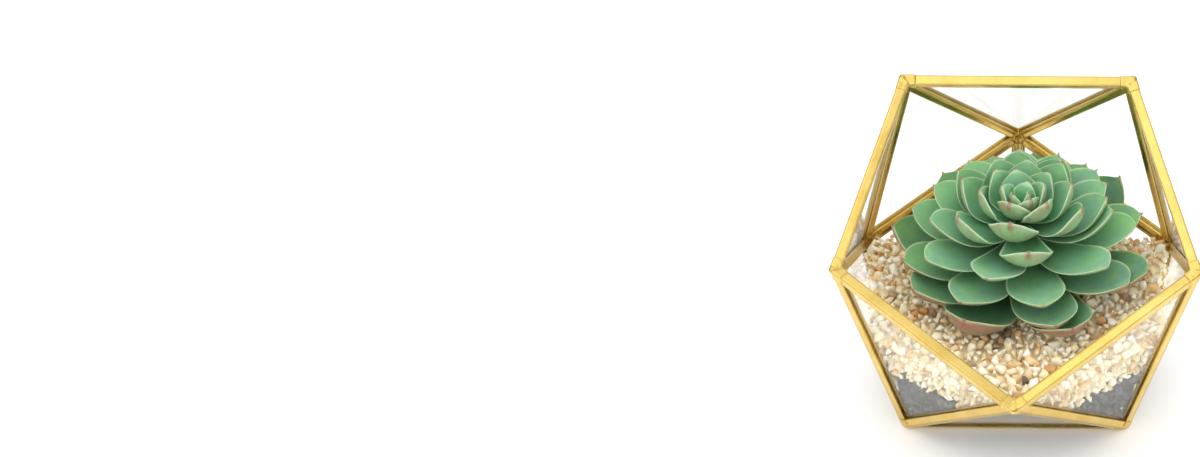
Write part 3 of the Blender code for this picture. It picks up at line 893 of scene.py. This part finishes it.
class Scatter:
    """Places for grains of mixed size, none closer together than a share of their two radii."""

    def __init__(self, cell):
        self.cell = cell
        self.cells = {}
        self.places = []

    def offer(self, place, radius, group):
        home = [math.floor(c / self.cell) for c in place]
        for step in np.ndindex(3, 3, 3):
            key = (home[0] + step[0] - 1, home[1] + step[1] - 1, home[2] + step[2] - 1)
            for other, size in self.cells.get(key, ()):
                if (other - place).length < CLOSENESS * (radius + size):
                    return
        self.cells.setdefault(tuple(home), []).append((place, radius))
        self.places.append((place, radius, group))


def heights_of(obj):
    """A function that gives the height of a CAD solid's top over any point of the floor. Past the
    solid's edge it is the height a little nearer to the middle."""
    tree = BVHTree.FromPolygons([v.co for v in obj.data.vertices], [p.vertices for p in obj.data.polygons])

    def height(x, y):
        for share in (1.0, 0.97, 0.94, 0.9, 0.8):
            hit = tree.ray_cast(Vector((x * share, y * share, 1.0)), Vector((0, 0, -1)))[0]
            if hit:
                return hit.z
        return 0.0

    return height


def from_line(point, start, end):
    """A point's distance from the line through two others."""
    along = (end - start).normalized()
    beside = point - start
    return (beside - beside.dot(along) * along).length


class Vessel:
    """The space inside the panes and under the mouth, where the grains lie."""

    def __init__(self, corners, planes):
        self.corners = corners
        self.panes = [(centre, normal, PANES[name]) for name, (centre, normal) in planes.items()]
        self.walls = self.panes + mouth_walls(corners)

    def has_room(self, place, radius):
        """Whether a grain fits inside the walls, and clears the strips' inner flanges."""
        for centre, normal, letters in self.walls:
            depth = -distance_point_to_plane(place, centre, normal)
            if depth < HALF_GLASS + radius * GLASS_GAP:
                return False
            if depth < HALF_STRIP + radius * STRIP_GAP:
                for i in range(len(letters)):
                    gap = from_line(place, self.corners[letters[i - 1]], self.corners[letters[i]])
                    if gap < FLANGE + radius * EDGE_GAP:
                        return False
        return True

    def site_by_pane(self, rng, radius):
        """A random place just behind a random pane."""
        _, normal, letters = self.panes[rng.integers(len(self.panes))]
        a, b, c = (self.corners[k] for k in letters)
        u, v = rng.random(2)
        if u + v > 1:
            u, v = 1 - u, 1 - v
        depth = HALF_GLASS + radius * GLASS_START + LOOSE_DEPTH * rng.random() ** NEAR_BIAS
        return a + (b - a) * u + (c - a) * v - normal * depth


def site_under_top(rng, radius, top):
    """A random place near the surface of a filling."""
    x, y = (rng.random(2) * 2 - 1) * FILL_REACH
    return Vector((x, y, top(x, y) - radius * TOP_START - LOOSE_DEPTH * rng.random() ** NEAR_BIAS))


def fill_places(rng, vessel, bottom, top, sizes, tries, top_share, blocked=None):
    """Grain places in the outer layer of a filling, the largest grains first. bottom and top give its
    heights, and top_share is the share of the tries that go to its surface."""
    scatter = Scatter(sizes[1] * 2)
    for i in range(tries):
        radius = between(sizes[1], sizes[0], (i / tries) ** SIZE_FALL)
        on_top = rng.random() < top_share
        place = site_under_top(rng, radius, top) if on_top else vessel.site_by_pane(rng, radius)
        lowest = bottom(place.x, place.y) + radius * BOTTOM_GAP
        highest = top(place.x, place.y) - radius * TOP_GAP
        if not lowest < place.z < highest:
            continue
        if vessel.has_room(place, radius) and not (blocked and blocked(place, radius)):
            scatter.offer(place, radius, "top" if on_top else "side")
    return scatter.places


def make_grains(name, places, shapes, rng, material, node):
    """All the grains of one filling as one mesh, each turned and tinted at random."""
    points, faces, tints, count = [], [], [], 0
    for place, radius, _ in places:
        shape, triangles = shapes[rng.integers(len(shapes))]
        turn = Quaternion(rng.normal(size=4)).normalized().to_matrix()
        points.append(shape @ np.array(turn).T * radius + np.array(place))
        faces.append(triangles + count)
        tints.append(np.full(len(shape), rng.random()))
        count += len(shape)
    mesh = mesh_from(name, np.concatenate(points), np.concatenate(faces))
    set_attribute(mesh, "tint", np.concatenate(tints))
    mesh.materials.append(material)
    mesh.shade_smooth()
    obj = add_object(name, mesh)
    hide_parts(node)
    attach(obj, "root")


def make_core(name, node, material, tint):
    """The inside of a filling: the CAD solid, drawn in under the loose grains."""
    mesh = node.data.copy()
    cover(mesh, material)
    bm = bmesh.new()
    bm.from_mesh(mesh)
    bmesh.ops.remove_doubles(bm, verts=bm.verts, dist=1e-6)
    bmesh.ops.recalc_face_normals(bm, faces=bm.faces)
    bm.normal_update()
    for v in bm.verts:
        v.co = v.co - v.normal * CORE_DEPTH
    bm.to_mesh(mesh)
    bm.free()
    set_attribute(mesh, "tint", np.full(len(mesh.vertices), tint))
    obj = add_object(name, mesh)
    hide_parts(node.name)
    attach(obj, "root")


def foliage_tree(leaves):
    """The finished leaves, for asking how near a grain comes to them."""
    graph = bpy.context.evaluated_depsgraph_get()
    bm = bmesh.new()
    for leaf in leaves:
        part = bpy.data.meshes.new_from_object(leaf.evaluated_get(graph))
        part.transform(leaf.matrix_world)
        bm.from_mesh(part)
        bpy.data.meshes.remove(part)
    tree = BVHTree.FromBMesh(bm)
    bm.free()
    return tree


def make_fill(nodes, corners, planes, leaves, gravel, pebble):
    """The gravel and the drainage pebbles: loose grains round a plain core each."""
    rng = np.random.default_rng(GRAIN_SEED)
    shapes = grain_shapes(rng)
    vessel = Vessel(corners, planes)
    foliage = foliage_tree(leaves[:LOW_LEAVES])
    gravel_top, pebble_top = heights_of(nodes["gravel"]), heights_of(nodes["drainage_pebbles"])
    rate = 1.0

    def near_leaf(place, radius):
        return foliage.find_nearest(place, radius * LEAF_GAP)[0] is not None

    def boundary(x, y):
        """The uneven height where the gravel ends and the pebbles begin."""
        return pebble_top(x, y) + BOUNDARY_WAVE * noise.noise(Vector((x * 130, y * 130, 4.0)))

    def ground(x, y):
        return 0.0

    tries = int(GRAVEL_TRIES * rate)
    places = fill_places(
        rng, vessel, boundary, gravel_top, GRAVEL_SIZES, tries, GRAVEL_ON_TOP, near_leaf,
    )
    for group in ("top", "side"):
        chosen = [p for p in places if p[2] == group]
        make_grains(f"gravel_{group}_grains", chosen, shapes, rng, gravel, "gravel")
    tries = int(PEBBLE_TRIES * rate)
    places = fill_places(rng, vessel, ground, boundary, PEBBLE_SIZES, tries, PEBBLES_ON_TOP)
    make_grains("pebble_grains", places, shapes, rng, pebble, "drainage_pebbles")
    make_core("gravel_core", nodes["gravel"], gravel, GRAVEL_CORE_TINT)
    make_core("pebble_core", nodes["drainage_pebbles"], pebble, PEBBLE_CORE_TINT)


# ---- the studio ----


def make_floor():
    """The table top, which reaches far past the view."""
    bm = bmesh.new()
    bmesh.ops.create_grid(bm, x_segments=1, y_segments=1, size=FLOOR_SIZE)
    table = add_object("table", mesh_of("table", bm))
    table.data.materials.append(floor_material())


def make_lights():
    """Round area lights that face the terrarium."""
    for name, place, diameter, power, colour in LIGHTS:
        light = bpy.data.lights.new(name, "AREA")
        light.shape = "DISK"
        light.size = diameter
        light.energy = power
        light.color = colour
        obj = add_object(name, light)
        obj.location = place
        obj.rotation_mode = "QUATERNION"
        obj.rotation_quaternion = (place - VIEW_CENTRE).to_track_quat("Z", "Y")


def make_world():
    """White to the camera and through the glass. Rough surfaces get an even soft light, and shiny ones a
    room with dark and bright parts: bright overhead, dim at the sides, the pale table below."""
    n = Nodes(bpy.data.worlds.new("studio"))
    split = n.add("ShaderNodeSeparateXYZ", Vector=n.place("Generated"))
    raised = n.math("MULTIPLY_ADD", split.outputs["Z"], 0.5, 0.5)
    path = n.add("ShaderNodeLightPath").outputs
    room = n.background(n.ramp(raised, *ROOM_LEVELS), ROOM_STRENGTH)
    fill = n.background(n.ramp(raised, *FILL_LEVELS), FILL_STRENGTH)
    lit = n.mix_shader(path["Is Diffuse Ray"], room, fill)
    direct = n.math("MAXIMUM", path["Is Camera Ray"], path["Is Transmission Ray"])
    white = n.background((1, 1, 1), 1.0)
    bpy.context.scene.world = n.finish(n.mix_shader(direct, lit, white))


def make_camera():
    """The camera looks at VIEW_CENTRE from VIEW_DISTANCE away, and is shifted sideways."""
    camera = bpy.data.cameras.new("camera")
    camera.lens = VIEW_LENS
    camera.sensor_width = 36
    camera.shift_x, camera.shift_y = VIEW_SHIFT
    camera.clip_start = 0.01
    obj = add_object("camera", camera)
    back = Vector((
        math.sin(VIEW_AZIMUTH) * math.cos(VIEW_ELEVATION),
        -math.cos(VIEW_AZIMUTH) * math.cos(VIEW_ELEVATION),
        math.sin(VIEW_ELEVATION),
    ))
    obj.location = VIEW_CENTRE + back * VIEW_DISTANCE
    obj.rotation_mode = "QUATERNION"
    obj.rotation_quaternion = back.to_track_quat("Z", "Y") @ Quaternion((0, 0, 1), -VIEW_ROLL)
    bpy.context.scene.camera = obj


def main():
    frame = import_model()
    cad_box = [list(corner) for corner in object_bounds()]
    nodes = frame["nodes"]
    middle = Vector(np.mean(cad_box, axis=0))
    planes = {name: pane_plane(nodes[name], middle) for name in PANES}
    corners = find_corners(planes)

    finish_cad(nodes, brass_material(), glass_material())
    make_solder(corners, planes, solder_material())
    leaves = make_leaves(leaf_material())
    make_stem(stem_material())
    make_fill(nodes, corners, planes, leaves, gravel_material(), pebble_material())

    make_floor()
    make_lights()
    make_world()
    make_camera()
    bpy.context.scene.view_settings.view_transform = "Standard"


main()
